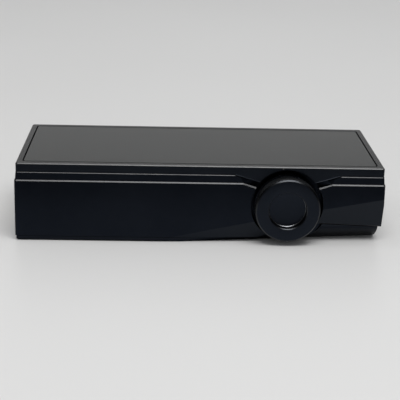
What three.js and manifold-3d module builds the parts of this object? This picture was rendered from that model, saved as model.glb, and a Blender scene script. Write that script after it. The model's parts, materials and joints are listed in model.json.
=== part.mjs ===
// Pocket headphone amplifier with a rotary volume wheel.
// Millimetres, +Z up. The origin is the centre of the underside, +X runs along the case
// towards the end with the wheel, and the wheel faces -Y.
import * as THREE from "three";
import { mergeVertices } from "three/addons/utils/BufferGeometryUtils.js";
import Module from "manifold-3d";

const wasm = await Module();
wasm.setup();

// ---- driving dimensions ----
const LENGTH = 65;
const DEPTH = 27; // across the long faces at the ledge
const CAMBER = 0.5; // how far each long face swells out from the ledge to its foot
const HEIGHT = 13.9;
const CORNER_RADIUS = 0.35;
const SEAM_GAP = 0.08; // between fixed pieces that meet

const WALL = 1.3;
const FRONT_WALL = 1.7;
const LEDGE_Z = 10.97; // chamfered ledge round the case
const SHOULDER_Z = 12.31; // top of the shoulder band, under the frame
const LEDGE_CHAMFER = 0.19;
const LEDGE_FLAT = 0.09; // between that chamfer and the band
const SHOULDER_CHAMFER = 0.08;
const SHOULDER_SHELF = 0.05; // flat left between that chamfer and the frame

const FRAME_INSET_X = 0.25;
const FRAME_INSET_Y = 0.45;
const FRAME_Z = SHOULDER_Z + SEAM_GAP;
const FRAME_CHAMFER = 0.16;
const BEZEL_X = 1.03; // rim of the frame round the glass, at the ends
const BEZEL_Y = 1.22; // and along the long sides
const FRAME_RIM = 2.6; // width of the frame's underside, round its opening
const GLASS_GAP = 0.24;
const GLASS_RADIUS = 0.6;
const GLASS_CHAMFER = 0.03;
const GLASS_THICKNESS = 0.72;
const ADHESIVE_THICKNESS = 0.12;

const WHEEL_X = 15.28;
const WHEEL_Z = 6.63;
const WHEEL_RADIUS = 5.7;
const WHEEL_FRONT = -2.1; // depths are measured inwards from the front face
const WHEEL_BACK = 2.1;
const INDEX_RADIUS = 0.15; // dimple in the frame above the wheel
const INDEX_DEPTH = 0.08;
const INDEX_OFFSET = 0.9;
const INDEX_Z = HEIGHT - 0.36;
const POCKET_RADIUS = 6.4;
const POCKET_RISE = 0.34; // of the pocket's axis above the wheel's
const POCKET_DEPTH = 2.9;
const POCKET_FLOOR = 0.8;
const POCKET_BACK = POCKET_DEPTH + POCKET_FLOOR;

const DIP_SLOPE = 0.31; // fall of the ledge and the frame's ears towards the wheel
const LEDGE_DIP_START = 7.85; // sideways from the wheel's axis
const EAR_DIP_START = 9.15;
const LEDGE_DIP_END = 3.6;
const EAR_DIP_END = 3;
const DIP_DEPTH = 1.75; // of each scoop where it runs out into the pocket
const EAR_LIP = 0.1; // chamfered lip along the lower edge of each ear

const SHAFT_RADIUS = 1.5;
const RUNNING_CLEARANCE = 0.06;
const BUSH_RADIUS = 2.9;
const ENCODER_SIZE = 9.6;
const WHEEL_ROOM = 7.6; // kept clear on each side of the wheel's axis, inside the case

// The stack behind the wheel, as depths inwards from the front face.
const SHAFT_SPAN = [-0.35, 5.9];
const BUSH_SPAN = [1.6, 4];
const NUT_SPAN = [2, 2.58];
const WASHER_SPAN = [2.63, 2.83];
const FACEPLATE_SPAN = [3.8, 4.2];
const ENCODER_SPAN = [4.3, 8.9];
const ENCODER_BOARD_SPAN = [9, 9.8];
const HEADER_SPAN = [9.9, 11.9];

const BOARD_Z = 4;
const BOARD_THICKNESS = 1;
const BOARD_TOP = BOARD_Z + BOARD_THICKNESS;
const COVER_FLOOR = 1.2;
const FOOT_CHAMFER = 0.28;
const SEAM_CHAMFER = 0.1; // under the facet, to the right of the wheel
const POST_RADIUS = 2;
const POST_WEB_Z = 3.1; // underside of the webs between the posts and the end walls
const SCREW_HOLE_RADIUS = 0.62;
const COVER_INSET_LEFT = 0.15; // of the cover's strip behind each end of the case
const COVER_INSET_RIGHT = 0.62;
const COVER_SCREW_RADIUS = 1.25;
const BOARD_SCREW_RADIUS = 1.2;
const SCREW_HEAD_HEIGHT = 0.5;
const SCREW_SHANK_RADIUS = 0.55;
const SOCKET_HALF_WIDTH = 4.47;
const SOCKET_HALF_HEIGHT = 1.58;
const SOCKET_WALL = 0.3;
const SOCKET_FIT = 0.15;
const SOCKET_Z = BOARD_TOP + 1.64;
const JACK_Z = 6.9;
const JACK_SMALL_Y = -4.9;
const JACK_LARGE_Y = 3.95;
const JACK_SMALL_RADIUS = 2.9; // outside of each collar
const JACK_LARGE_RADIUS = 3.9;

const BACK = DEPTH / 2;
const FRONT = -DEPTH / 2;
const END = LENGTH / 2;
const FAR = 40; // reach of a cutting body, beyond the case on every side

// Each post takes a board screw from above and a cover screw from below.
const POSTS = [
  [-29.3, -10.3],
  [-29.3, 10.3],
  [28, 9.9],
  [28, -6.8],
];

// The joint between case and cover, as heights along the length.
const SEAM = [
  [-FAR, 0.87],
  [10.2, 0.87],
  [20.4, 3.65],
  [END, 2.87],
  [FAR, 2.35],
];

// The facet along the lower front edge, as the depth cut away at (x, z) from the plane
// y = FRONT. It starts from a point at the foot, left of the wheel. Below it, the cover
// curls under the case, more and more towards the end.
const FACET_START = -8.38;
const FACET_FOOT_Z = 0.15;
const FACET_SPREAD = 0.05585; // gain in depth per millimetre along the length
const FACET_RAKE = 0.24; // loss of depth per millimetre of height
const CURL_START = -4;
const CURL_TOP = 3.4;
const CURL_SPREAD = 0.0787;
const CURL_LEVELS = [-1, 0, 0.25, 0.5, 0.8, 1.1, 1.4, 1.8, 2.2, 2.6, 3, CURL_TOP, 5];
function shellFacet(x, z) {
  return FACET_SPREAD * (x - FACET_START) - FACET_RAKE * (z - FACET_FOOT_Z) - CAMBER;
}
function coverFacet(x, z) {
  const down = Math.min(1, Math.max(0, 1 - z / CURL_TOP));
  return shellFacet(x, z) + CURL_SPREAD * (x - CURL_START) * down ** 2;
}

// ---- materials ----
const finish = (color, roughness, metalness) =>
  new THREE.MeshStandardMaterial({ color, roughness, metalness });
const anodised = finish(0x14171f, 0.42, 0.85);
const wheelMetal = finish(0x1c2029, 0.38, 0.9);
const panelGlass = finish(0x0b0c0d, 0.12, 0);
const foam = finish(0x0a0a0a, 0.9, 0);
const steel = finish(0x2a2c30, 0.35, 1);
const nickel = finish(0xb9b6ae, 0.3, 1);
const gold = finish(0xc9a24a, 0.3, 1);
const circuitBoard = finish(0x12261c, 0.55, 0);
const chipPlastic = finish(0x151515, 0.6, 0);
const mouldedPlastic = finish(0x101012, 0.5, 0);
const capacitorResin = finish(0xb8862f, 0.5, 0);

// ---- solids ----
function signedVolume(geometry) {
  const p = geometry.attributes.position;
  const order = geometry.index.array;
  const corner = (i) => new THREE.Vector3().fromBufferAttribute(p, order[i]);
  let sum = 0;
  for (let i = 0; i < order.length; i += 3)
    sum += corner(i).dot(corner(i + 1).cross(corner(i + 2)));
  return sum / 6;
}

// A closed geometry with shared vertices and faces pointing out.
function closed(geometry) {
  geometry.deleteAttribute("normal");
  geometry.deleteAttribute("uv");
  const merged = mergeVertices(geometry, 1e-5);
  if (signedVolume(merged) < 0) merged.index.array.reverse();
  return merged;
}

function solid(geometry) {
  const merged = closed(geometry);
  return new wasm.Manifold(
    new wasm.Mesh({
      numProp: 3,
      vertProperties: new Float32Array(merged.attributes.position.array),
      triVerts: new Uint32Array(merged.index.array),
    }),
  );
}

function geometryOf(body) {
  const mesh = body.getMesh();
  const geometry = new THREE.BufferGeometry();
  const positions = new THREE.BufferAttribute(mesh.vertProperties, 3);
  geometry.setAttribute("position", positions);
  geometry.setIndex(new THREE.BufferAttribute(mesh.triVerts, 1));
  return geometry;
}

// Skins a stack of convex outlines with the same number of points.
function loft(rings) {
  const count = rings[0].length;
  const triangles = [];
  const at = (ring, i) => ring * count + (i % count);
  for (let r = 0; r + 1 < rings.length; r++)
    for (let i = 0; i < count; i++)
      triangles.push(
        [at(r, i), at(r, i + 1), at(r + 1, i + 1)],
        [at(r, i), at(r + 1, i + 1), at(r + 1, i)],
      );
  const last = rings.length - 1;
  for (let i = 1; i + 1 < count; i++)
    triangles.push([0, i + 1, i], [at(last, 0), at(last, i), at(last, i + 1)]);
  const geometry = new THREE.BufferGeometry();
  const positions = new Float32Array(rings.flat(2));
  geometry.setAttribute("position", new THREE.BufferAttribute(positions, 3));
  geometry.setIndex(triangles.flat());
  return geometry;
}

function roundedOutline(halfX, halfY, radius, steps = 3) {
  const points = [];
  for (let corner = 0; corner < 4; corner++)
    for (let i = 0; i <= steps; i++) {
      const angle = ((corner + i / steps) * Math.PI) / 2;
      const sideX = corner === 0 || corner === 3 ? 1 : -1;
      const sideY = corner < 2 ? 1 : -1;
      points.push([
        sideX * (halfX - radius) + radius * Math.cos(angle),
        sideY * (halfY - radius) + radius * Math.sin(angle),
      ]);
    }
  return points;
}

// A slab with rounded corners whose half sizes change from level to level.
function slab(levels, radius, steps) {
  return loft(
    levels.map(([z, halfX, halfY]) =>
      roundedOutline(halfX, halfY, radius, steps).map(([x, y]) => [x, y, z]),
    ),
  );
}

function box(x, y, z) {
  const geometry = new THREE.BoxGeometry(x[1] - x[0], y[1] - y[0], z[1] - z[0]);
  return geometry.translate((x[0] + x[1]) / 2, (y[0] + y[1]) / 2, (z[0] + z[1]) / 2);
}

// An outline given as (x, z) points, extruded along Y.
function plateAcross(points, y) {
  const shape = new THREE.Shape(points.map(([a, b]) => new THREE.Vector2(a, b)));
  const settings = { depth: y[1] - y[0], bevelEnabled: false };
  const geometry = new THREE.ExtrudeGeometry(shape, settings);
  return geometry.rotateX(Math.PI / 2).translate(0, y[1], 0);
}

function rodY(radius, y, segments = 32) {
  const geometry = new THREE.CylinderGeometry(radius, radius, y[1] - y[0], segments);
  return geometry.translate(0, (y[0] + y[1]) / 2, 0);
}

function rodX(radius, x, segments = 28) {
  const geometry = new THREE.CylinderGeometry(radius, radius, x[1] - x[0], segments);
  return geometry.rotateZ(Math.PI / 2).translate((x[0] + x[1]) / 2, 0, 0);
}

function rodZ(radius, z, segments = 16) {
  const geometry = new THREE.CylinderGeometry(radius, radius, z[1] - z[0], segments);
  return geometry.rotateX(Math.PI / 2).translate(0, 0, (z[0] + z[1]) / 2);
}

// A rounded slot outline, wide in Y, extruded along X.
function ovalAlongX(halfWidth, halfHeight, x) {
  const outline = roundedOutline(halfWidth, halfHeight, halfHeight - 0.01, 5);
  return loft(x.map((at) => outline.map(([y, z]) => [at, y, z])));
}

const joined = (bodies) => bodies.reduce((sum, body) => sum.add(body));
const cut = (body, tools) => tools.reduce((rest, tool) => rest.subtract(tool), body);

const root = new THREE.Group();
function place(name, geometry, material, x = 0, y = 0, z = 0) {
  const mesh = new THREE.Mesh(geometry, material);
  mesh.name = name;
  mesh.position.set(x, y, z);
  root.add(mesh);
}

// ---- cutting bodies shared by several pieces ----
const wheelAxis = (geometry) => geometry.translate(WHEEL_X, 0, WHEEL_Z);
const behindFront = ([near, far]) => [FRONT + near, FRONT + far];

const pocketRod = (radius, y, segments) =>
  solid(rodY(radius, y, segments).translate(WHEEL_X, 0, WHEEL_Z + POCKET_RISE));

const pocketCut = pocketRod(POCKET_RADIUS, [FRONT - 5, FRONT + POCKET_DEPTH], 72);

// Everything in front of a facet, pushed inwards by an offset, between the given heights.
// The facets may twist, so each is skinned in short steps along the length.
function facetCut(depthAt, offset, levels) {
  const left = -12;
  const front = FRONT - 9;
  const steps = 16;
  const stations = Array.from({ length: steps + 1 }, (_, i) => FAR - ((FAR - left) * i) / steps);
  const ring = (z) => [
    [left, front, z],
    [FAR, front, z],
    ...stations.map((x) => [x, FRONT + depthAt(x, z) + offset, z]),
  ];
  return solid(loft(levels.map(ring)));
}

const belowSeam = (drop) =>
  solid(
    plateAcross(
      [...SEAM.map(([x, z]) => [x, z - drop]), [FAR, -5], [-FAR, -5]],
      [-FAR, FAR],
    ),
  );

// The scoop on one side of the wheel: a wall that runs inwards to the pocket, standing on
// the falling ledge, and the chamfer along that ledge.
function dipCuts(side) {
  const start = WHEEL_X + side * LEDGE_DIP_START;
  const top = WHEEL_X + side * EAR_DIP_START;
  const end = WHEEL_X + side * LEDGE_DIP_END;
  const endZ = LEDGE_Z - DIP_SLOPE * (LEDGE_DIP_START - LEDGE_DIP_END);
  const front = FRONT - 1;
  const rim = FRONT + LEDGE_CHAMFER;
  const foot = rim + LEDGE_FLAT;
  const bandTop = FRONT + FRAME_INSET_Y - SHOULDER_SHELF;
  const deep = FRONT + DIP_DEPTH;
  const ceiling = SHOULDER_Z + 1;
  const scoop = loft([
    [
      [start, front, LEDGE_Z],
      [start, foot, LEDGE_Z],
      [top, bandTop, ceiling],
      [top, front, ceiling],
    ],
    [
      [end, front, endZ],
      [end, deep, endZ],
      [end, deep, ceiling],
      [end, front, ceiling],
    ],
  ]);
  const drop = 1 + LEDGE_CHAMFER;
  const chamfer = loft([
    [
      [start, front, LEDGE_Z - drop],
      [start, rim, LEDGE_Z],
      [start, front, LEDGE_Z],
    ],
    [
      [end, front, endZ - drop],
      [end, rim, endZ],
      [end, front, endZ],
    ],
  ]);
  return [solid(scoop), solid(chamfer)];
}

// The chamfer under the facet, along the last slope of the seam.
function seamChamfer() {
  const ring = ([x, seamZ]) => {
    const edge = FRONT + shellFacet(x, seamZ);
    const reach = 0.5;
    return [
      [x, edge + SEAM_CHAMFER + reach, seamZ - reach],
      [x, edge - reach, seamZ + SEAM_CHAMFER + reach],
      [x, edge - 2 * reach, seamZ - reach],
    ];
  };
  return solid(loft([ring(SEAM[2]), ring(SEAM[4])]));
}

// The frame's ear on one side of the wheel, as an (x, z) outline grown downwards by a gap.
function earOutline(side, grow) {
  const start = WHEEL_X + side * (EAR_DIP_START + 4 * grow);
  const end = WHEEL_X + side * EAR_DIP_END;
  const top = FRAME_Z + 0.3;
  const fall = DIP_SLOPE * (EAR_DIP_START - EAR_DIP_END);
  return [
    [start, top],
    [start, FRAME_Z - grow],
    [end, FRAME_Z - fall - grow],
    [end, top],
  ];
}

// ---- case ----
const chamferFoot = LEDGE_Z - LEDGE_CHAMFER;
const swell = (z) => CAMBER * (1 - (z / chamferFoot) ** 2);

function makeShell() {
  const y = DEPTH / 2;
  const faceLevels = [0, 2.4, 4.6, 6.4, 7.9, 9.3, chamferFoot];
  const shoulderX = END - FRAME_INSET_X + 0.02;
  const shelfY = y - FRAME_INSET_Y + SHOULDER_SHELF;
  const outer = slab(
    [
      ...faceLevels.map((z) => [z, END, y + swell(z)]),
      [LEDGE_Z, END - 0.05, y - LEDGE_CHAMFER],
      [LEDGE_Z, END - 0.11, y - LEDGE_CHAMFER - LEDGE_FLAT],
      [SHOULDER_Z - SHOULDER_CHAMFER, shoulderX, shelfY + SHOULDER_CHAMFER],
      [SHOULDER_Z, shoulderX, shelfY],
    ],
    CORNER_RADIUS,
  );
  const inside = box(
    [-END + WALL, END - WALL],
    [FRONT + FRONT_WALL, BACK - WALL],
    [-1, HEIGHT + 1],
  );
  const walls = cut(solid(outer), [belowSeam(0), solid(inside)]);

  const pocketDisc = pocketRod(POCKET_RADIUS + 0.9, [FRONT + 1, FRONT + POCKET_BACK]);
  const pocketLimits = solid(
    box([0, END], [FRONT, BACK], [COVER_FLOOR + 0.1, SHOULDER_Z]),
  );
  const posts = POSTS.map(([px, py]) => {
    const wallX = Math.sign(px) * (END - WALL + 0.2);
    const rod = solid(
      rodZ(POST_RADIUS, [COVER_FLOOR + SEAM_GAP, BOARD_Z - SEAM_GAP]).translate(px, py, 0),
    );
    const web = solid(
      box(
        [Math.min(px, wallX), Math.max(px, wallX)],
        [py - 1.2, py + 1.2],
        [POST_WEB_Z, BOARD_Z - SEAM_GAP],
      ),
    );
    const hole = rodZ(SCREW_HOLE_RADIUS, [-1, HEIGHT], 10).translate(px, py, 0);
    return rod.add(web).subtract(solid(hole));
  });
  const body = joined([walls, pocketDisc.intersect(pocketLimits), ...posts]);

  const bushHole = solid(wheelAxis(rodY(BUSH_RADIUS + 0.15, [FRONT, FRONT + 5])));
  const earSeats = [-1, 1].map((side) =>
    solid(plateAcross(earOutline(side, SEAM_GAP), [FRONT - 1, FRONT + FRONT_WALL + 0.1])),
  );
  const jackHole = (collarRadius, yAt) => {
    const hole = rodX(collarRadius + 0.12, [-END - 1, -END + WALL + 1]);
    return solid(hole.translate(0, yAt, JACK_Z));
  };
  const socketHole = solid(
    ovalAlongX(SOCKET_HALF_WIDTH + SOCKET_FIT, SOCKET_HALF_HEIGHT + SOCKET_FIT, [
      END - WALL - 1,
      END + 1,
    ]).translate(0, 0, SOCKET_Z),
  );
  return cut(body, [
    facetCut(shellFacet, 0, [-1, 12]),
    seamChamfer(),
    pocketCut,
    bushHole,
    ...dipCuts(-1),
    ...dipCuts(1),
    ...earSeats,
    jackHole(JACK_LARGE_RADIUS, JACK_LARGE_Y),
    jackHole(JACK_SMALL_RADIUS, JACK_SMALL_Y),
    socketHole,
  ]);
}

function makeFrame() {
  const x = END - FRAME_INSET_X;
  const y = DEPTH / 2 - FRAME_INSET_Y;
  const ring = slab(
    [
      [FRAME_Z, x, y],
      [HEIGHT - FRAME_CHAMFER, x, y],
      [HEIGHT, x - FRAME_CHAMFER, y - FRAME_CHAMFER],
    ],
    CORNER_RADIUS,
  );
  const window = [x - BEZEL_X, y - BEZEL_Y];
  const glassSeat = slab(
    [
      [HEIGHT - GLASS_THICKNESS - ADHESIVE_THICKNESS, ...window],
      [HEIGHT + 1, ...window],
    ],
    GLASS_RADIUS,
  );
  const innerX = x - FRAME_RIM;
  const innerY = y - FRAME_RIM;
  const opening = box([-innerX, innerX], [-innerY, innerY], [0, HEIGHT]);
  const skirtOuter = box(
    [-END + WALL + 0.1, END - WALL - 0.1],
    [FRONT + FRONT_WALL + 0.1, BACK - WALL - 0.1],
    [SHOULDER_Z - 0.9, FRAME_Z + 0.2],
  );
  const skirtInner = box([-innerX, innerX], [-innerY + 0.2, innerY], [0, HEIGHT]);
  const skirt = solid(skirtOuter).subtract(solid(skirtInner));
  const wall = FRONT + FRAME_INSET_Y;
  const ears = [-1, 1].map((side) =>
    solid(plateAcross(earOutline(side, 0), [wall, FRONT + FRONT_WALL])),
  );
  const lips = [-1, 1].map((side) => {
    const [, start, end] = earOutline(side, 0);
    const section = ([px, pz]) => [
      [px, wall - EAR_LIP, pz],
      [px, wall + EAR_LIP, pz],
      [px, wall + EAR_LIP, pz + EAR_LIP],
      [px, wall, pz + EAR_LIP],
    ];
    return solid(loft([section(start), section(end)]));
  });
  const wheelRoom = solid(
    box(
      [WHEEL_X - POCKET_RADIUS - 1.2, WHEEL_X + POCKET_RADIUS + 1.2],
      [FRONT + FRONT_WALL + 0.08, FRONT + POCKET_BACK + 0.5],
      [0, HEIGHT - GLASS_THICKNESS - ADHESIVE_THICKNESS + 0.01],
    ),
  );
  const dimple = rodY(INDEX_RADIUS, [FRONT, FRONT + FRAME_INSET_Y + INDEX_DEPTH], 16);
  const index = solid(dimple.translate(WHEEL_X - INDEX_OFFSET, 0, INDEX_Z));
  const body = joined([solid(ring), skirt, ...ears, ...lips]);
  return cut(body, [solid(glassSeat), solid(opening), pocketCut, wheelRoom, index]);
}

function makePanel() {
  const x = END - FRAME_INSET_X - BEZEL_X - GLASS_GAP;
  const y = DEPTH / 2 - FRAME_INSET_Y - BEZEL_Y - GLASS_GAP;
  const low = HEIGHT - GLASS_THICKNESS;
  const glass = slab(
    [
      [low, x, y],
      [HEIGHT - GLASS_CHAMFER, x, y],
      [HEIGHT, x - GLASS_CHAMFER, y - GLASS_CHAMFER],
    ],
    GLASS_RADIUS - GLASS_GAP,
    5,
  );
  const tapeOuter = slab(
    [low - ADHESIVE_THICKNESS + 0.02, low - 0.02].map((z) => [z, x - 0.1, y - 0.1]),
    GLASS_RADIUS,
  );
  const tapeInner = box([-x + 1.1, x - 1.1], [-y + 1.1, y - 1.1], [0, HEIGHT]);
  const roomOverWheel = box(
    [WHEEL_X - WHEEL_ROOM, WHEEL_X + WHEEL_ROOM],
    [FRONT, FRONT + 3.2],
    [0, HEIGHT],
  );
  place("glass_panel", glass, panelGlass);
  const adhesive = cut(solid(tapeOuter), [solid(tapeInner), solid(roomOverWheel)]);
  place("glass_adhesive", geometryOf(adhesive), foam);
}

function makeCover() {
  const left = -END + COVER_INSET_LEFT;
  const right = END - COVER_INSET_RIGHT;
  const halfX = (right - left) / 2;
  const halfY = DEPTH / 2 + CAMBER - 0.06;
  const outer = slab(
    [
      [0, halfX - FOOT_CHAMFER, halfY - FOOT_CHAMFER],
      [FOOT_CHAMFER, halfX, halfY],
      [6, halfX, halfY],
    ],
    CORNER_RADIUS,
  ).translate((left + right) / 2, 0, 0);
  const rim = solid(outer).intersect(belowSeam(SEAM_GAP));
  const trayFront = FRONT + FRONT_WALL + 0.12;
  const tray = [trayFront, BACK - WALL - 0.1];
  const trayLeft = -END + WALL + 0.1;
  const hollow = solid(box([trayLeft, END - WALL - 0.85], tray, [COVER_FLOOR, 8])).subtract(
    facetCut(coverFacet, COVER_FLOOR, CURL_LEVELS),
  );
  const floorPlate = solid(box([trayLeft, END - WALL - 0.7], tray, [0.3, COVER_FLOOR]));
  const aboveFloor = solid(box([0, END], [FRONT - 1, BACK], [COVER_FLOOR, 9]));
  const pocketRoom = pocketRod(POCKET_RADIUS + 1, [FRONT - 1, FRONT + POCKET_BACK + 0.1]);
  const screwRooms = POSTS.flatMap(([px, py]) => [
    solid(rodZ(SCREW_SHANK_RADIUS + 0.25, [-1, 3], 12).translate(px, py, 0)),
    solid(rodZ(COVER_SCREW_RADIUS + 0.15, [-1, 0.62], 20).translate(px, py, 0)),
  ]);
  return cut(rim.add(floorPlate), [
    hollow,
    facetCut(shellFacet, 0.03, [-1, 12]),
    facetCut(coverFacet, 0, CURL_LEVELS),
    pocketCut,
    pocketRoom.intersect(aboveFloor),
    ...screwRooms,
  ]);
}

// ---- screws ----
function screw(headRadius, length) {
  const socket = new THREE.CylinderGeometry(0.5, 0.5, 0.3, 6);
  const profile = [
    [0, -length],
    [SCREW_SHANK_RADIUS - 0.1, -length],
    [SCREW_SHANK_RADIUS, -length + 0.15],
    [SCREW_SHANK_RADIUS, 0],
    [headRadius, 0],
    [headRadius, SCREW_HEAD_HEIGHT - 0.1],
    [headRadius - 0.1, SCREW_HEAD_HEIGHT],
    [0, SCREW_HEAD_HEIGHT],
  ].map(([r, y]) => new THREE.Vector2(r, y));
  const body = solid(new THREE.LatheGeometry(profile, 14));
  return body.subtract(solid(socket.translate(0, SCREW_HEAD_HEIGHT, 0)));
}

function placeScrews() {
  const coverScrew = geometryOf(screw(COVER_SCREW_RADIUS, 2));
  const boardScrew = geometryOf(screw(BOARD_SCREW_RADIUS, 1.8));
  coverScrew.rotateX(-Math.PI / 2);
  boardScrew.rotateX(Math.PI / 2);
  POSTS.forEach(([x, y], i) => {
    place("cover_screw_" + (i + 1), coverScrew, steel, x, y, 0.58);
    place("board_screw_" + (i + 1), boardScrew, nickel, x, y, BOARD_TOP + 0.04);
  });
}

// ---- wheel and encoder ----
function makeWheel() {
  const rim = WHEEL_RADIUS;
  const front = WHEEL_FRONT;
  const bore = SHAFT_RADIUS + RUNNING_CLEARANCE;
  const profile = [
    [0, front + 1.3],
    [3.1, front + 1.3],
    [3.3, front + 1.1],
    [3.3, front + 0.15],
    [3.45, front],
    [rim - 0.24, front],
    [rim, front + 0.24],
    [rim, 0.2],
    [rim - 0.3, 0.3],
    [rim - 0.3, 1.1],
    [rim - 0.05, 1.15],
    [rim, 1.2],
    [rim, WHEEL_BACK - 0.1],
    [rim - 0.1, WHEEL_BACK],
    [4.6, WHEEL_BACK],
    [4.6, 0.4],
    [2.6, 0.4],
    [2.6, 1.5],
    [bore, 1.5],
    [bore, -0.45],
    [0, -0.45],
  ].map(([r, depth]) => new THREE.Vector2(r, FRONT + depth));
  return new THREE.LatheGeometry(profile, 64);
}

function makeEncoder() {
  const half = ENCODER_SIZE / 2;
  const bore = SHAFT_RADIUS + RUNNING_CLEARANCE;
  const rod = (radius, span, segments) => solid(rodY(radius, behindFront(span), segments));
  const plate = (halfX, z, span) => box([-halfX, halfX], behindFront(span), z);
  const square = [-half, half];

  const shaftFlat = plate(2, [SHAFT_RADIUS - 0.35, 3], [-1, 1.5]);
  const shaft = rod(SHAFT_RADIUS, SHAFT_SPAN).subtract(solid(shaftFlat));
  const faceplate = solid(plate(half, square, FACEPLATE_SPAN)).add(rod(BUSH_RADIUS, BUSH_SPAN));
  const housing = solid(plate(half, square, ENCODER_SPAN));
  const ring = (outer, span, segments) =>
    rod(outer, span, segments).subtract(rod(BUSH_RADIUS + 0.08, [0, 5]));
  const pieces = [
    ["encoder_shaft", shaft, nickel],
    ["encoder_faceplate", faceplate.subtract(rod(bore, [0, 6])), nickel],
    ["encoder_body", housing.subtract(rod(bore + 0.15, [4, 6.2])), mouldedPlastic],
    ["encoder_nut", ring(4.04, NUT_SPAN, 6), nickel],
    ["encoder_washer", ring(4.2, WASHER_SPAN, 32), nickel],
  ];
  for (const [name, body, material] of pieces)
    place(name, geometryOf(body), material, WHEEL_X, 0, WHEEL_Z);

  const board = plate(6, square, ENCODER_BOARD_SPAN);
  place("encoder_board", board, circuitBoard, WHEEL_X, 0, WHEEL_Z);
  const header = plate(4, [0, 1.6], HEADER_SPAN);
  place("encoder_header", header, mouldedPlastic, WHEEL_X, 0, BOARD_TOP + SEAM_GAP);
}

// ---- sockets ----
function placeJack(name, y, boreRadius, collarRadius, width, length) {
  const face = -END + WALL + SEAM_GAP;
  const half = width / 2;
  const block = solid(box([face, face + length], [-half, half], [-half, half]));
  const bore = solid(rodX(boreRadius, [face - 1, face + length - 1]));
  const collar = solid(rodX(collarRadius, [-END - 0.05, face - SEAM_GAP]));
  const mouth = solid(rodX(boreRadius + 0.05, [-END - 1, face + 1]));
  place(name + "_body", geometryOf(block.subtract(bore)), mouldedPlastic, 0, y, JACK_Z);
  place(name + "_collar", geometryOf(collar.subtract(mouth)), gold, 0, y, JACK_Z);
}

function placeUsbSocket() {
  const mouth = END - 0.1;
  const back = mouth - 7.8;
  const oval = (shrink, x) =>
    solid(ovalAlongX(SOCKET_HALF_WIDTH - shrink, SOCKET_HALF_HEIGHT - shrink, x));
  const tube = oval(0, [back, mouth]);
  const inside = oval(SOCKET_WALL, [back - 1, mouth + 1]);
  const block = oval(SOCKET_WALL + 0.07, [back + 0.1, back + 2.6]);
  const tongue = solid(box([back + 2, mouth - 1], [-3.35, 3.35], [-0.35, 0.35]));
  place("usb_socket_shell", geometryOf(tube.subtract(inside)), nickel, 0, 0, SOCKET_Z);
  place("usb_socket_tongue", geometryOf(block.add(tongue)), mouldedPlastic, 0, 0, SOCKET_Z);
}

// ---- board ----
function placeBoard() {
  const left = -END + WALL + 0.2;
  const right = END - WALL - 0.2;
  const front = FRONT + FRONT_WALL + 0.2;
  const back = BACK - WALL - 0.2;
  const behindEncoder = FRONT + ENCODER_BOARD_SPAN[1] + 0.2;
  const largeJackEnd = -12.9;
  const smallJackEnd = -18.9;
  const largeSide = 4.3;
  const smallSide = 3.1;
  const outline = [
    [left, front],
    [WHEEL_X - WHEEL_ROOM, front],
    [WHEEL_X - WHEEL_ROOM, behindEncoder],
    [WHEEL_X + WHEEL_ROOM, behindEncoder],
    [WHEEL_X + WHEEL_ROOM, front],
    [right, front],
    [right, back],
    [left, back],
    [left, JACK_LARGE_Y + largeSide],
    [largeJackEnd, JACK_LARGE_Y + largeSide],
    [largeJackEnd, JACK_LARGE_Y - largeSide],
    [left, JACK_LARGE_Y - largeSide],
    [left, JACK_SMALL_Y + smallSide],
    [smallJackEnd, JACK_SMALL_Y + smallSide],
    [smallJackEnd, JACK_SMALL_Y - smallSide],
    [left, JACK_SMALL_Y - smallSide],
  ].map(([x, y]) => new THREE.Vector2(x, y));
  const shape = new THREE.Shape(outline);
  for (const [x, y] of POSTS)
    shape.holes.push(new THREE.Path().absarc(x, y, 0.75, 0, 2 * Math.PI, true));
  const settings = { depth: BOARD_THICKNESS, bevelEnabled: false, curveSegments: 8 };
  place("main_board", new THREE.ExtrudeGeometry(shape, settings), circuitBoard, 0, 0, BOARD_Z);
}

function placeComponents() {
  const top = BOARD_TOP + SEAM_GAP;
  const parts = [
    ["converter_chip_1", 5, 5, 0.9, -7.5, -6, chipPlastic],
    ["converter_chip_2", 5, 5, 0.9, -7.5, 3.5, chipPlastic],
    ["bridge_chip", 6, 6, 0.9, 19.5, 4.5, chipPlastic],
    ["amplifier_chip_1", 3, 3, 0.8, -14.5, -6, chipPlastic],
    ["amplifier_chip_2", 3, 3, 0.8, -8.5, 9.6, chipPlastic],
    ["oscillator_1", 2.5, 2, 0.8, 4.2, -1.5, nickel],
    ["oscillator_2", 2.5, 2, 0.8, 4.2, 3, nickel],
    ["capacitor_1", 3.5, 2.8, 1.9, -1.2, -9, capacitorResin],
    ["capacitor_2", 3.5, 2.8, 1.9, 3.6, -9, capacitorResin],
    ["capacitor_3", 3.5, 2.8, 1.9, -1.2, 9, capacitorResin],
    ["capacitor_4", 3.5, 2.8, 1.9, 3.6, 9, capacitorResin],
    ["shield_can", 8, 7, 1.6, 11, 6, nickel],
  ];
  for (const [name, sizeX, sizeY, sizeZ, x, y, material] of parts) {
    const bevel = 0.12;
    const block = slab(
      [
        [0, sizeX / 2, sizeY / 2],
        [sizeZ - bevel, sizeX / 2, sizeY / 2],
        [sizeZ, sizeX / 2 - bevel, sizeY / 2 - bevel],
      ],
      0.2,
      2,
    );
    place(name, block, material, x, y, top);
  }
}

place("main_shell", geometryOf(makeShell()), anodised);
place("top_frame", geometryOf(makeFrame()), anodised);
makePanel();
place("bottom_cover", geometryOf(makeCover()), anodised);
place("volume_wheel", makeWheel(), wheelMetal, WHEEL_X, 0, WHEEL_Z);
makeEncoder();
placeJack("jack_small", JACK_SMALL_Y, 1.8, JACK_SMALL_RADIUS, 5.8, 11.7);
placeJack("jack_large", JACK_LARGE_Y, 2.25, JACK_LARGE_RADIUS, 8.2, 17.7);
placeUsbSocket();
placeBoard();
placeComponents();
placeScrews();

export default root;
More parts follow.
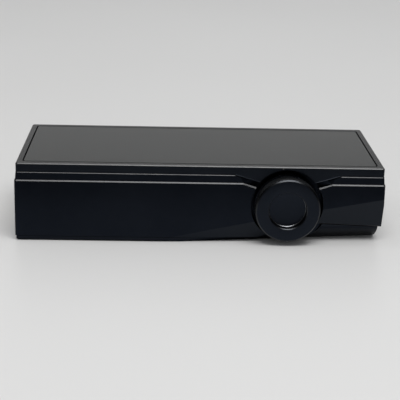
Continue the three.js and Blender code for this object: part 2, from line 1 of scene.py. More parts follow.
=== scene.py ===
"""Looks of a pocket headphone amplifier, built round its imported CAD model.

Lengths are in metres, but outlines are drawn in millimetres and scaled by MM. The case lies
along X, its volume wheel faces -Y, and its underside is z = 0.
"""

import json
import math

import bmesh
import bpy
from mathutils import Matrix, Vector


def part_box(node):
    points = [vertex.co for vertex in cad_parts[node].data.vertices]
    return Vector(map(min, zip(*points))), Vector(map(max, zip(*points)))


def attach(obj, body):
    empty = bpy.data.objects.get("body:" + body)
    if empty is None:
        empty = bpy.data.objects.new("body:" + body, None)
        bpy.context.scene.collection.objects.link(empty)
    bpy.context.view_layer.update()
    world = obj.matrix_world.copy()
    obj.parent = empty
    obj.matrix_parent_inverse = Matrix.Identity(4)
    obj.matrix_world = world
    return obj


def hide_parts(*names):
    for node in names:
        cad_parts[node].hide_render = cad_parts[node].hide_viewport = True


MM = 0.001
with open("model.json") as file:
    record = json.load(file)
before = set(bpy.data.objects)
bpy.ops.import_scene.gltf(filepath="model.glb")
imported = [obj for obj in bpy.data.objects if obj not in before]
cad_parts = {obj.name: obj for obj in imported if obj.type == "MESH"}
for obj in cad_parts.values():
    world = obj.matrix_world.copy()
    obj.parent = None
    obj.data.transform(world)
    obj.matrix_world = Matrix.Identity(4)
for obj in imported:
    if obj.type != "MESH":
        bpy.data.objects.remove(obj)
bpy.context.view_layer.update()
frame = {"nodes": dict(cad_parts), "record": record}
nodes = frame["nodes"]
slot_of = {part["node"]: part["material_slot"] for part in frame["record"]["subparts"]}
wheel_low, wheel_high = (Vector(corner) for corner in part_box("volume_wheel"))
wheel_axis = (wheel_low + wheel_high) / 2


# ---- values: camera, stage and lights ----
CAMERA_PLACE = Vector((-6.68, -193.5, 69.39)) * MM
CAMERA_PITCH = math.radians(18.88)
CAMERA_YAW = math.radians(2.1)
CAMERA_ROLL = math.radians(1.54)
CAMERA_LENS = 97.65  # mm, on a 36 mm sensor

FLOOR_HALF = 1.6
WALL_Y = 0.75
WALL_Z = 1.2
COVE_RADIUS = 0.3  # of the bend between floor and wall
COVE_STEPS = 16
FLAG_HALF = 0.5  # half the width of the black flag on the floor
FLAG_FRONT = -0.7
FLAG_BACK = -0.058
FLAG_Z = 0.0003  # just above the floor

ROOM_COLOUR = (0.95, 0.97, 1.0)
AMBIENT = 0.4  # strength of the room's light, except in reflections
DARK_ROOM = 0.02  # its strength in reflections
OVERHEAD_PLACE = (0.07, -0.24, 0.62)
OVERHEAD_AIM = (0, 0, 0)
OVERHEAD_SIZE = (0.5, 0.3)
OVERHEAD_WATTS = 2.75
WASH_PLACE = (0, 0.1, 0.9)
WASH_AIM = (0, WALL_Y, 0.3)
WASH_SIZE = (1.2, 0.3)
WASH_WATTS = 1.72

# ---- values: looks ----
# Each finish has the dark and the light of its clouds, and the colour of its cuts.
CASE = ((0.0125, 0.0155, 0.022), (0.0165, 0.02, 0.028), (0.063, 0.063, 0.064))
FRAME = ((0.017, 0.0205, 0.027), (0.0215, 0.025, 0.032), (0.074, 0.074, 0.074))
COVER = ((0.0135, 0.0165, 0.0225), (0.018, 0.021, 0.028), (0.05, 0.05, 0.052))
WHEEL = ((0.016, 0.02, 0.0275), (0.02, 0.0235, 0.0315), (0.049, 0.051, 0.055))
# Regions with colours of their own: painted shade, a painted reflection, and the frame's level tops.
# Painted shade: the cover's curl, darkened for the floor's contact shadow that it lies in.
CURL_PAINTED_SHADE = (0.0085, 0.011, 0.0165)
# Painted reflection: the case's lower facet, lightened as if it reflected more of the floor.
FACET_PAINTED_REFLECTION = (0.0205, 0.0235, 0.029)
FRAME_TOP = (0.0145, 0.0152, 0.017)
RUBBED_AND_GLINT = (0.2, 0.206, 0.216)  # the flanks of the knurl: worn metal, lightened further as a painted glint
CUT_ROUGHNESS = 0.32
FRAME_TOP_ROUGHNESS = 0.24

CLOUD_SIZE = 9 * MM
WEAR_WIDTH = 0.06 * MM
BLAST_GRAIN = 0.07 * MM
BLAST_DEPTH = 0.004 * MM
LATHE_PITCH = 0.05 * MM
LATHE_DEPTH = 0.002 * MM
# Along each of the two axes that it lies between, a chamfer's unit normal has at least and
# at most these parts.
CHAMFER_MIN = 0.5
CHAMFER_MAX = 0.84
# From the middle of the case, the mask of its ends rises from 0 to 1 between these.
END_START = 31.2 * MM
END_FULL = 31.5 * MM
# The Z of the facet's normal lies between these two.
FACET_LOW = -0.28
FACET_HIGH = -0.18
# From left to right, the facet's painted reflection rises from a quarter to full between these two.
FACET_START = -4 * MM
FACET_FULL = 9 * MM
# The cover is all curl, with full painted shade, where the Z of its normal is below the first, and
# none above the second.
CURL_FULL = -0.36
CURL_NONE = -0.28

# Each of these has the dark and the light of its clouds, and its roughness.
METALS = {
    "black_steel": ((0.03, 0.03, 0.034), (0.05, 0.05, 0.055), 0.35),
    "plated_steel": ((0.5, 0.49, 0.46), (0.62, 0.6, 0.57), 0.28),
    "plated_brass": ((0.72, 0.5, 0.2), (0.82, 0.62, 0.3), 0.24),
}
PLASTICS = {
    "adhesive_tape": ((0.01, 0.01, 0.01), (0.02, 0.02, 0.02), 0.8),
    "circuit_board": ((0.008, 0.028, 0.018), (0.014, 0.042, 0.026), 0.4),
    "chip_plastic": ((0.012, 0.012, 0.012), (0.022, 0.022, 0.022), 0.6),
    "moulded_plastic": ((0.01, 0.01, 0.011), (0.02, 0.02, 0.022), 0.5),
    "capacitor_resin": ((0.5, 0.3, 0.07), (0.6, 0.38, 0.11), 0.4),
}

# ---- values: edges and pieces ----
SHARP_ANGLE = math.radians(24)
CAMBER_ANGLE = math.radians(6)  # between the steps of the case's cambered faces, at most
FLAT_ANGLE = math.radians(0.5)  # facets that meet at less than this are one face
EDGE_BREAK = 0.03 * MM
GLASS_EDGE_BREAK = 0.015 * MM

KNURL_START = 0.3 * MM  # behind the front of the wheel
KNURL_END = 2.28 * MM
KNURLS = 56  # crossing grooves of each hand round the rim
KNURL_SAMPLES = 6  # points round the rim per groove
KNURL_PITCH = 0.85 * MM  # along the axis between two grooves of one hand
KNURL_DEPTH = 0.17 * MM
KNURL_NARROWING = 1.6  # the higher, the narrower each groove
KNURL_STEP = 0.07  # mm along the axis between two points of the rim

# The wheel's profile in millimetres; depths are behind its front.
DISH_RADIUS = 3.3
DISH_DEPTH = 1.3
DISH_LIP = 0.15
RIM_CHAMFER = 0.24
GROOVE_DEPTH = 0.28
FLANGE_WIDTH = 0.9
FLANGE_CHAMFER = 0.1
HOLLOW_RADIUS = 4.6
HOLLOW_FLOOR = 2.5
HUB_RADIUS = 2.6
HUB_END = 3.6
BORE_RADIUS = 1.56
BORE_FLOOR = 1.65
CORNER_EASE = 0.03

EAR_LIP = 0.1 * MM  # by which the frame's lips stand proud of its front wall
INDEX_OFFSET = 0.9 * MM  # to the left of the wheel's axis
INDEX_DROP = 0.36 * MM  # below the top of the frame
PAINT_SINK = 0.03 * MM  # of the paint's crown behind the frame's front wall
PAINT_RADIUS = 0.14  # mm
PAINT_THICKNESS = 0.05  # mm
PAINT_SEGMENTS = 24

JACKS = {"small": (1.85, 3), "large": (2.3, 5)}  # bore radius in mm, and number of springs
COLLAR_SEGMENTS = 96
FIRST_SPRING = math.radians(40)
LEAF_HALF_WIDTH = 0.35 * MM
LEAF_THICKNESS = 0.09 * MM

SOCKET_WALL = 0.3  # mm
CONTACTS = 12  # on each side of the tongue
CONTACT_PITCH = 0.5 * MM
CONTACT_LENGTH = 3.6 * MM
CONTACT_HALF_WIDTH = 0.13 * MM
CONTACT_HALF_THICKNESS = 0.02 * MM
CONTACT_RISE = 0.35 * MM  # above and below the middle of the socket
TONGUE_SETBACK = 1.15 * MM  # behind the socket's mouth


# ---- camera, stage and lights ----
def link(piece):
    bpy.context.scene.collection.objects.link(piece)
    return piece


def mesh_object(name, draft, material):
    """An object made from a draft mesh, with one material."""
    mesh = bpy.data.meshes.new(name)
    draft.to_mesh(mesh)
    draft.free()
    mesh.materials.append(material)
    return link(bpy.data.objects.new(name, mesh))


def make_camera():
    pitch, yaw, roll = CAMERA_PITCH, CAMERA_YAW, CAMERA_ROLL
    ahead = Vector(
        (math.sin(yaw) * math.cos(pitch), math.cos(yaw) * math.cos(pitch), -math.sin(pitch))
    )
    level = Vector((math.cos(yaw), -math.sin(yaw), 0))
    upright = level.cross(ahead)
    right = level * math.cos(roll) + upright * math.sin(roll)
    up = upright * math.cos(roll) - level * math.sin(roll)
    data = bpy.data.cameras.new("camera")
    data.lens = CAMERA_LENS
    data.clip_start, data.clip_end = 0.01, 20
    camera = link(bpy.data.objects.new("camera", data))
    turn = Matrix((right, up, -ahead)).transposed()
    camera.matrix_world = Matrix.Translation(CAMERA_PLACE) @ turn.to_4x4()
    bpy.context.scene.camera = camera


def soft_light(name, place, aim, size, power):
    data = bpy.data.lights.new(name, "AREA")
    data.shape = "RECTANGLE"
    data.size, data.size_y = size
    data.energy = power
    light = link(bpy.data.objects.new(name, data))
    light.location = place
    light.rotation_euler = (Vector(aim) - Vector(place)).to_track_quat("-Z", "Y").to_euler()


def make_floor():
    """A pale floor that curves up into a wall."""
    turns = [math.pi / 2 * i / COVE_STEPS for i in range(COVE_STEPS + 1)]
    arc = [
        (WALL_Y - COVE_RADIUS + COVE_RADIUS * math.sin(turn), COVE_RADIUS * (1 - math.cos(turn)))
        for turn in turns
    ]
    section = [(-FLOOR_HALF, 0), *arc, (WALL_Y, WALL_Z)]
    draft = bmesh.new()
    left, right = (
        [draft.verts.new((x, y, z)) for y, z in section] for x in (-FLOOR_HALF, FLOOR_HALF)
    )
    for i in range(len(section) - 1):
        face = draft.faces.new((left[i], right[i], right[i + 1], left[i + 1]))
        face.smooth = True
    mesh_object("floor", draft, floor_paint())


def make_flag():
    """A black flag in front of the case, which only reflections see."""
    draft = bmesh.new()
    corners = (
        (-FLAG_HALF, FLAG_FRONT),
        (FLAG_HALF, FLAG_FRONT),
        (FLAG_HALF, FLAG_BACK),
        (-FLAG_HALF, FLAG_BACK),
    )
    draft.faces.new([draft.verts.new((x, y, FLAG_Z)) for x, y in corners])
    flag = mesh_object("flag", draft, flag_cloth())
    flag.visible_camera = False
    flag.visible_diffuse = False
    flag.visible_shadow = False


def light_stage():
    scene = bpy.context.scene
    scene.view_settings.view_transform = "Standard"
    world = bpy.data.worlds.new("studio")
    world.use_nodes = True
    tree = world.node_tree
    background = tree.nodes["Background"]
    background.inputs["Color"].default_value = (*ROOM_COLOUR, 1)
    glossy = add(tree, "ShaderNodeLightPath").outputs["Is Glossy Ray"]
    strength = spread(tree, glossy, AMBIENT, DARK_ROOM, 0, 1)
    tree.links.new(strength, background.inputs["Strength"])
    scene.world = world
    soft_light("overhead", OVERHEAD_PLACE, OVERHEAD_AIM, OVERHEAD_SIZE, OVERHEAD_WATTS)
    soft_light("wall_wash", WASH_PLACE, WASH_AIM, WASH_SIZE, WASH_WATTS)


# ---- material building blocks ----
def new_material(name):
    material = bpy.data.materials.new(name)
    material.use_nodes = True
    return material, material.node_tree, material.node_tree.nodes["Principled BSDF"]


def add(tree, kind, values=None, **settings):
    """A node, with its settings and the values or links of its inputs."""
    node = tree.nodes.new(kind)
    for key, value in settings.items():
        setattr(node, key, value)
    for key, value in (values or {}).items():
        if isinstance(value, bpy.types.NodeSocket):
            tree.links.new(value, node.inputs[key])
        else:
            node.inputs[key].default_value = value
    return node


def plug(tree, shader, **inputs):
    """Sets the shader's sockets by name, with _ for a space."""
    for key, value in inputs.items():
        socket = shader.inputs[key.replace("_", " ")]
        if isinstance(value, bpy.types.NodeSocket):
            tree.links.new(value, socket)
        else:
            socket.default_value = value


def math_node(tree, operation, *values):
    return add(tree, "ShaderNodeMath", dict(enumerate(values)), operation=operation).outputs[0]


def vector_node(tree, operation, *values):
    node = add(tree, "ShaderNodeVectorMath", dict(enumerate(values)), operation=operation)
    return node.outputs["Value" if operation in ("LENGTH", "DOT_PRODUCT") else "Vector"]


def spread(tree, factor, low, high, start=0.3, end=0.7):
    """A factor's range from start to end, mapped to low to high."""
    values = {
        "Value": factor,
        "From Min": start,
        "From Max": end,
        "To Min": low,
        "To Max": high,
    }
    return add(tree, "ShaderNodeMapRange", values).outputs["Result"]


def blend(tree, kind, factor, a, b):
    """Mixes two colours (kind RGBA) or two numbers (kind FLOAT)."""
    node = add(tree, "ShaderNodeMix", {"Factor": factor}, data_type=kind)
    suffix = "Color" if kind == "RGBA" else "Float"
    for letter, value in (("A", a), ("B", b)):
        target = next(s for s in node.inputs if s.identifier == f"{letter}_{suffix}")
        if isinstance(value, bpy.types.NodeSocket):
            tree.links.new(value, target)
        else:
            target.default_value = (*value, 1) if kind == "RGBA" else value
    return next(s for s in node.outputs if s.identifier == f"Result_{suffix}")


def bump(tree, height, distance, strength=1.0, under=None):
    values = {"Height": height, "Distance": distance, "Strength": strength}
    if under is not None:
        values["Normal"] = under
    return add(tree, "ShaderNodeBump", values).outputs["Normal"]


def place_of(tree):
    return add(tree, "ShaderNodeTexCoord").outputs["Object"]


def one_part(tree, vector, axis):
    return add(tree, "ShaderNodeSeparateXYZ", {"Vector": vector}).outputs[axis]


def noise(tree, size, detail=2.0, roughness=0.5):
    """Noise whose grain is about this size, in metres."""
    values = {
        "Vector": place_of(tree),
        "Scale": 1 / size,
        "Detail": detail,
        "Roughness": roughness,
    }
    return add(tree, "ShaderNodeTexNoise", values).outputs["Fac"]


def turning(tree, centre, size):
    """Noise in rings about the wheel's axis, as a lathe tool leaves it."""
    offset = vector_node(tree, "SUBTRACT", place_of(tree), centre)
    flat = vector_node(tree, "MULTIPLY", offset, (1, 0, 1))
    radius = vector_node(tree, "LENGTH", flat)
    values = {"W": radius, "Scale": 1 / size, "Detail": 3.0}
    return add(tree, "ShaderNodeTexNoise", values, noise_dimensions="1D").outputs["Fac"]


# ---- masks: where a finish changes, and where light or shade is painted ----
def edge_mask(tree, radius):
    """1 along edges within this radius, and 0 on flat faces."""
    round_normal = add(tree, "ShaderNodeBevel", {"Radius": radius}, samples=4).outputs["Normal"]
    normal = add(tree, "ShaderNodeNewGeometry").outputs["Normal"]
    return spread(tree, vector_node(tree, "DOT_PRODUCT", round_normal, normal), 1, 0, 0.9, 0.995)


def normal_part(tree, axis):
    """One part of the face normal."""
    return one_part(tree, add(tree, "ShaderNodeNewGeometry").outputs["True Normal"], axis)


def size_of_part(tree, axis):
    return math_node(tree, "ABSOLUTE", normal_part(tree, axis))


def between(tree, value, low, high, soft=0.04):
    """1 for a value between low and high, falling to 0 within soft outside."""
    off = math_node(tree, "SUBTRACT", value, (low + high) / 2)
    half = (high - low) / 2
    return spread(tree, math_node(tree, "ABSOLUTE", off), 1, 0, half, half + soft)


def end_mask(tree):
    """1 within a millimetre of either end of the case."""
    x = one_part(tree, place_of(tree), "X")
    return spread(tree, math_node(tree, "ABSOLUTE", x), 0, 1, END_START, END_FULL)


def chamfer_up(tree):
    """1 on the upward chamfers along the long sides and round the ends."""
    upward = between(tree, normal_part(tree, "Z"), CHAMFER_MIN, CHAMFER_MAX)
    sides = between(tree, size_of_part(tree, "Y"), CHAMFER_MIN, CHAMFER_MAX)
    sideways = between(tree, size_of_part(tree, "X"), CHAMFER_MIN, 1.0)
    ends = math_node(tree, "MULTIPLY", sideways, end_mask(tree))
    return math_node(tree, "MULTIPLY", upward, math_node(tree, "MAXIMUM", sides, ends))


def level_chamfer_up(tree):
    """The mask of chamfer_up, without the sloping lips of the frame's ears."""
    level = between(tree, size_of_part(tree, "X"), -0.1, 0.08)
    kept = math_node(tree, "MAXIMUM", level, end_mask(tree))
    return math_node(tree, "MULTIPLY", chamfer_up(tree), kept)


def chamfer_front(tree):
    """1 on chamfers whose normals lean halfway to the front, such as those of the wheel."""
    return between(tree, normal_part(tree, "Y"), -CHAMFER_MAX, -CHAMFER_MIN)


def case_chamfers(tree):
    """1 on the upward chamfers and on the one that faces down along the seam."""
    downward = between(tree, normal_part(tree, "Z"), -CHAMFER_MAX, -CHAMFER_MIN)
    seam = math_node(tree, "MULTIPLY", downward, chamfer_front(tree))
    return math_node(tree, "MAXIMUM", chamfer_up(tree), seam)


def knurl_wear_and_glint_mask(tree):
    """1 on the front flanks of the knurl, rubbed by fingers and lightened further as a painted
    glint.
    """
    y = one_part(tree, place_of(tree), "Y")
    start, end = wheel_low.y + KNURL_START, wheel_low.y + KNURL_END
    zone = between(tree, y, start, end, 0.02 * MM)
    flank = between(tree, normal_part(tree, "Y"), -0.8, -0.12)
    return math_node(tree, "MULTIPLY", zone, flank)


def facet_reflection_mask(tree):
    """1 on the case's long lower facet, which leans down, where a painted reflection of the floor
    goes, fading towards its left point.
    """
    lean = between(tree, normal_part(tree, "Z"), FACET_LOW, FACET_HIGH)
    x = one_part(tree, place_of(tree), "X")
    return math_node(tree, "MULTIPLY", lean, spread(tree, x, 0.25, 1, FACET_START, FACET_FULL))


def curl_shade_mask(tree):
    """1 where the cover curls under the case, where its painted shade goes."""
    return spread(tree, normal_part(tree, "Z"), 1, 0, CURL_FULL, CURL_NONE)


def facing_up(tree):
    """1 on level faces that face up."""
    return between(tree, normal_part(tree, "Z"), 0.97, 1.1)


# ---- materials ----
def anodised(name, tones, roughness, chamfer, top=None, lathe=None, knurled=False, patch=None):
    """Blasted and anodised aluminium with bright-cut chamfers and slightly rubbed edges.

    tones are the dark and the light of its clouds and the colour of the cuts, chamfer the
    mask of the cuts, top the (roughness, colour) of level faces, lathe the centre of turning
    marks, and patch the (mask, colour) of a region where light or shade is painted: the case's
    facet gets a painted reflection of the floor, the cover's curl painted shade. knurled adds the
    worn front flanks of the wheel's knurl, lightened further as a painted glint.
    """
    dark, light, cut = tones
    material, tree, shader = new_material(name)
    cloud = noise(tree, CLOUD_SIZE, 4, 0.6)
    body = blend(tree, "RGBA", spread(tree, cloud, 0, 1), dark, light)
    matt = spread(tree, cloud, roughness - 0.03, roughness + 0.04)
    # The patch's colour is painted light: a painted reflection lightens the case's facet, painted
    # shade darkens the cover's curl.
    if patch is not None:
        mask, colour = patch
        body = blend(tree, "RGBA", mask(tree), body, colour)
    if top is not None:
        top_roughness, top_colour = top
        satin = spread(tree, cloud, top_roughness - 0.03, top_roughness + 0.03)
        matt = blend(tree, "FLOAT", facing_up(tree), matt, satin)
        body = blend(tree, "RGBA", facing_up(tree), body, top_colour)
    scuffs = spread(tree, noise(tree, 1.3 * MM, 3), 0.1, 0.5)
    wear = math_node(tree, "MULTIPLY", edge_mask(tree, WEAR_WIDTH), scuffs)
    tool_marks = spread(tree, noise(tree, 0.9 * MM, 4), 0.8, 1)
    bright = math_node(tree, "MULTIPLY", chamfer(tree), tool_marks)
    bare = math_node(tree, "MAXIMUM", bright, wear)
    # The knurl's front flanks: worn metal, lightened further as a painted glint.
    if knurled:
        rubbed = knurl_wear_and_glint_mask(tree)
        cut = blend(tree, "RGBA", rubbed, cut, RUBBED_AND_GLINT)
        bare = math_node(tree, "MAXIMUM", bare, rubbed)
    normal = bump(tree, noise(tree, BLAST_GRAIN, 2), BLAST_DEPTH, 0.5)
    if lathe is not None:
        normal = bump(tree, turning(tree, lathe, LATHE_PITCH), LATHE_DEPTH, 0.6, normal)
    plug(
        tree,
        shader,
        Base_Color=blend(tree, "RGBA", bare, body, cut),
        Roughness=blend(tree, "FLOAT", bare, matt, CUT_ROUGHNESS),
        Normal=normal,
    )
    shader.inputs["Metallic"].default_value = 1.0
    return material


def black_glass():
    material, tree, shader = new_material("panel_glass")
    smear = noise(tree, 11 * MM, 5, 0.6)
    colour = blend(tree, "RGBA", smear, (0.004, 0.005, 0.005), (0.007, 0.008, 0.008))
    plug(tree, shader, Base_Color=colour, Roughness=spread(tree, smear, 0.05, 0.12))
    shader.inputs["IOR"].default_value = 1.39
    shader.inputs["Specular Tint"].default_value = (0.86, 0.92, 0.9, 1)
    return material


def metal(name, dark, light, roughness):
    """Plated or plain metal with a fine grain."""
    material, tree, shader = new_material(name)
    cloud = noise(tree, 1.2 * MM, 4, 0.6)
    plug(
        tree,
        shader,
        Base_Color=blend(tree, "RGBA", spread(tree, cloud, 0, 1), dark, light),
        Roughness=spread(tree, cloud, roughness - 0.06, roughness + 0.08),
        Normal=bump(tree, noise(tree, 0.15 * MM, 3), 0.003 * MM, 0.5),
    )
    shader.inputs["Metallic"].default_value = 1.0
    return material


def plastic(name, dark, light, roughness):
    """Moulded resin with a fine spark-eroded texture."""
    material, tree, shader = new_material(name)
    cloud = noise(tree, 3 * MM, 3)
    plug(
        tree,
        shader,
        Base_Color=blend(tree, "RGBA", spread(tree, cloud, 0, 1), dark, light),
        Roughness=spread(tree, cloud, roughness - 0.05, roughness + 0.07),
        Normal=bump(tree, noise(tree, 0.12 * MM, 2), 0.006 * MM, 0.6),
    )
    return material


def index_paint():
    """Grey paint, slightly mottled."""
    material, tree, shader = new_material("index_paint")
    cloud = noise(tree, 0.1 * MM, 3)
    colour = blend(tree, "RGBA", cloud, (0.07, 0.072, 0.075), (0.11, 0.112, 0.115))
    plug(tree, shader, Base_Color=colour, Roughness=spread(tree, cloud, 0.45, 0.6))
    return material


def floor_paint():
    material, tree, shader = new_material("floor_paint")
    drift = noise(tree, 0.25, 2)
    shade = spread(tree, drift, 0, 1)
    plug(
        tree,
        shader,
        Base_Color=blend(tree, "RGBA", shade, (0.705, 0.7, 0.69), (0.745, 0.74, 0.73)),
        Roughness=spread(tree, drift, 0.3, 0.36),
        Normal=bump(tree, noise(tree, 0.6 * MM, 3), 0.01 * MM, 0.3),
    )
    shader.inputs["Specular IOR Level"].default_value = 0.3
    return material


def flag_cloth():
    """Black cloth that lets through the light from below, so the floor under it isn't dimmed."""
    material = plastic("flag_cloth", (0.01, 0.01, 0.01), (0.014, 0.014, 0.014), 0.9)
    tree = material.node_tree
    cloth = tree.nodes["Principled BSDF"].outputs["BSDF"]
    clear = add(tree, "ShaderNodeBsdfTransparent").outputs["BSDF"]
    below = add(tree, "ShaderNodeNewGeometry").outputs["Backfacing"]
    mix = add(tree, "ShaderNodeMixShader", {0: below, 1: cloth, 2: clear})
    tree.links.new(mix.outputs["Shader"], tree.nodes["Material Output"].inputs["Surface"])
    return material


materials = {
    # The case's lower facet carries a painted reflection of the floor.
    "case_metal": anodised("case_metal", CASE, 0.4, case_chamfers, patch=(facet_reflection_mask, FACET_PAINTED_REFLECTION)),
    "frame_metal": anodised(
        "frame_metal", FRAME, 0.38, level_chamfer_up, top=(FRAME_TOP_ROUGHNESS, FRAME_TOP)
    ),
    # The cover's curl carries painted shade.
    "cover_metal": anodised(
        "cover_metal", COVER, 0.42, chamfer_up, patch=(curl_shade_mask, CURL_PAINTED_SHADE)
    ),
    # The knurl's flanks carry wear and a painted glint.
    "wheel_metal": anodised(
        "wheel_metal", WHEEL, 0.38, chamfer_front, lathe=wheel_axis, knurled=True
    ),
    "panel_glass": black_glass(),
    **{name: metal(name, *look) for name, look in METALS.items()},
    **{name: plastic(name, *look) for name, look in PLASTICS.items()},
}


# ---- CAD nodes that stay ----
def smoothing_group(name, limit):
    """Geometry nodes that shade faces smooth and keep edges above an angle sharp."""
    tree = bpy.data.node_groups.new(name, "GeometryNodeTree")
    tree.interface.new_socket("Geometry", in_out="INPUT", socket_type="NodeSocketGeometry")
    tree.interface.new_socket("Geometry", in_out="OUTPUT", socket_type="NodeSocketGeometry")
    source = tree.nodes.new("NodeGroupInput")
    result = tree.nodes.new("NodeGroupOutput")
    angle = tree.nodes.new("GeometryNodeInputMeshEdgeAngle").outputs["Unsigned Angle"]
    steep = math_node(tree, "GREATER_THAN", angle, limit)
    creases = add(
        tree,
        "GeometryNodeSetShadeSmooth",
        {"Geometry": source.outputs[0], "Selection": steep, "Shade Smooth": False},
        domain="EDGE",
    )
    faces = add(
        tree,
        "GeometryNodeSetShadeSmooth",
        {"Geometry": creases.outputs["Geometry"], "Shade Smooth": True},
        domain="FACE",
    )
    tree.links.new(faces.outputs["Geometry"], result.inputs[0])
    return tree


smooth_rounds = smoothing_group("smooth_rounds", SHARP_ANGLE)
smooth_camber = smoothing_group("smooth_camber", CAMBER_ANGLE)


def finish_node(name):
    """Merges a CAD node's facets into whole faces, rounds its edges and gives it its material."""
    node = nodes[name]
    node.data.materials.clear()
    node.data.materials.append(materials[slot_of[name]])
    weld = node.modifiers.new("weld", "WELD")
    weld.merge_threshold = 0.001 * MM
    whole = node.modifiers.new("whole_faces", "DECIMATE")
    whole.decimate_type = "DISSOLVE"
    whole.angle_limit = FLAT_ANGLE
    edges = node.modifiers.new("edges", "BEVEL")
    edges.width = GLASS_EDGE_BREAK if name == "glass_panel" else EDGE_BREAK
    edges.segments = 2
    edges.limit_method = "ANGLE"
    edges.angle_limit = SHARP_ANGLE
    smooth = node.modifiers.new("smooth", "NODES")
    smooth.node_group = smooth_camber if name == "main_shell" else smooth_rounds
    normals = node.modifiers.new("normals", "WEIGHTED_NORMAL")
    normals.keep_sharp = True


for node_name in nodes:
    finish_node(node_name)


# ---- building blocks of the detailed pieces ----
def eased(points, size, steps=3):
    """A profile with its corners rounded, each cut back by size at most."""
    points = [Vector(point) for point in points]
    out = [points[0]]
    for before, corner, after in zip(points, points[1:], points[2:]):
        reach = min(size, 0.45 * (before - corner).length, 0.45 * (after - corner).length)
        start = corner + (before - corner).normalized() * reach
        end = corner + (after - corner).normalized() * reach
        for i in range(steps + 1):
            t = i / steps
            out.append(start * (1 - t) ** 2 + corner * 2 * t * (1 - t) + end * t**2)
    return [*out, points[-1]]


def skin(draft, pairs):
    """Faces between each pair of rings; a ring may be a single vertex."""
    for a, b in pairs:
        count = max(len(a), len(b))
        for i in range(count):
            j = (i + 1) % count
            corners = [a[i % len(a)], a[j % len(a)], b[j % len(b)], b[i % len(b)]]
            draft.faces.new(list(dict.fromkeys(corners)))


def revolve(profile, segments, place):
    """A draft mesh of a profile of (radius, along) turned once round.

    place(radius, along, angle) gives a point. A profile that starts or ends at radius 0
    is closed there by a single vertex; otherwise its last point joins its first.
    """
    draft = bmesh.new()
    rings = []
    for radius, along in profile:
        count = 1 if radius < 1e-9 else segments
        turns = (2 * math.pi * i / segments for i in range(count))
        rings.append([draft.verts.new(place(radius, along, turn)) for turn in turns])
    pairs = list(zip(rings, rings[1:]))
    if len(rings[0]) > 1 and len(rings[-1]) > 1:
        pairs.append((rings[-1], rings[0]))
    skin(draft, pairs)
    return draft


def make_piece(name, draft, slot, body, replaced=(), sharp=35):
    """A piece on a body, with edges above sharp degrees kept sharp."""
    bmesh.ops.recalc_face_normals(draft, faces=draft.faces)
    piece = mesh_object(name, draft, materials[slot])
    piece.data.shade_smooth()
    piece.data.set_sharp_from_angle(angle=math.radians(sharp))
    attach(piece, body)
    if replaced:
        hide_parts(*replaced)
    return piece


# ---- wheel and index ----
def knurl(angle, along):
    """How deep, up to 1, two crossing sets of grooves cut the rim; below 0 they don't."""
    turn = angle * KNURLS
    slope = 2 * math.pi * along / KNURL_PITCH
    waves = (abs(math.sin((turn + slope) / 2)), abs(math.sin((turn - slope) / 2)))
    return max(1 - KNURL_NARROWING * wave for wave in waves)


def wheel_profile(rim, depth, knurl_end):
    """The wheel's profile (radius, depth) in millimetres, with its corners eased."""
    flange = depth - FLANGE_WIDTH
    outline = [
        (0, DISH_DEPTH),
        (DISH_RADIUS, DISH_DEPTH),
        (DISH_RADIUS, DISH_LIP),
        (DISH_RADIUS + DISH_LIP, 0),
        (rim - RIM_CHAMFER, 0),
        (rim, RIM_CHAMFER),
        (rim, knurl_end + 0.02),
        (rim - GROOVE_DEPTH, knurl_end + 0.12),
        (rim - GROOVE_DEPTH, flange - 0.1),
        (rim - 0.05, flange - 0.05),
        (rim, flange),
        (rim, depth - FLANGE_CHAMFER),
        (rim - FLANGE_CHAMFER, depth),
        (HOLLOW_RADIUS, depth),
        (HOLLOW_RADIUS, HOLLOW_FLOOR),
        (HUB_RADIUS, HOLLOW_FLOOR),
        (HUB_RADIUS, HUB_END),
        (BORE_RADIUS, HUB_END),
        (BORE_RADIUS, BORE_FLOOR),
        (0, BORE_FLOOR),
    ]
    fillets = {
        (DISH_RADIUS, DISH_DEPTH): 0.25,
        (HOLLOW_RADIUS, HOLLOW_FLOOR): 0.2,
        (HUB_RADIUS, HOLLOW_FLOOR): 0.2,
    }
    profile = [Vector(outline[0])]
    for before, point, after in zip(outline, outline[1:], outline[2:]):
        profile.extend(eased((before, point, after), fillets.get(point, CORNER_EASE))[1:-1])
    return [*profile, Vector(outline[-1])]


def make_wheel():
    """The turned wheel, with a diamond knurl between its front chamfer and a groove."""
    rim = (wheel_high.x - wheel_low.x) / 2 / MM
    depth = (wheel_high.y - wheel_low.y) / MM
    knurl_end = KNURL_END / MM
    profile = wheel_profile(rim, depth, knurl_end)
    dense = []
    for a, b in zip(profile, profile[1:]):
        knurled = a.x > rim - 0.01 and b.x > rim - 0.01 and b.y < knurl_end + 0.02
        cuts = max(1, round((b.y - a.y) / KNURL_STEP)) if knurled else 1
        dense.extend(a.lerp(b, i / cuts) for i in range(cuts))
    dense.append(profile[-1])

    def place(radius, along, angle):
        if KNURL_START <= along <= KNURL_END and radius > (rim - 0.02) * MM:
            radius -= KNURL_DEPTH * max(0, knurl(angle, along))
        return (
            wheel_axis.x + radius * math.cos(angle),
            wheel_low.y + along,
            wheel_axis.z + radius * math.sin(angle),
        )

    scaled = [(point.x * MM, point.y * MM) for point in dense]
    draft = revolve(scaled, KNURLS * KNURL_SAMPLES, place)
    make_piece("knurled_wheel", draft, "wheel_metal", "wheel", ["volume_wheel"], sharp=28)


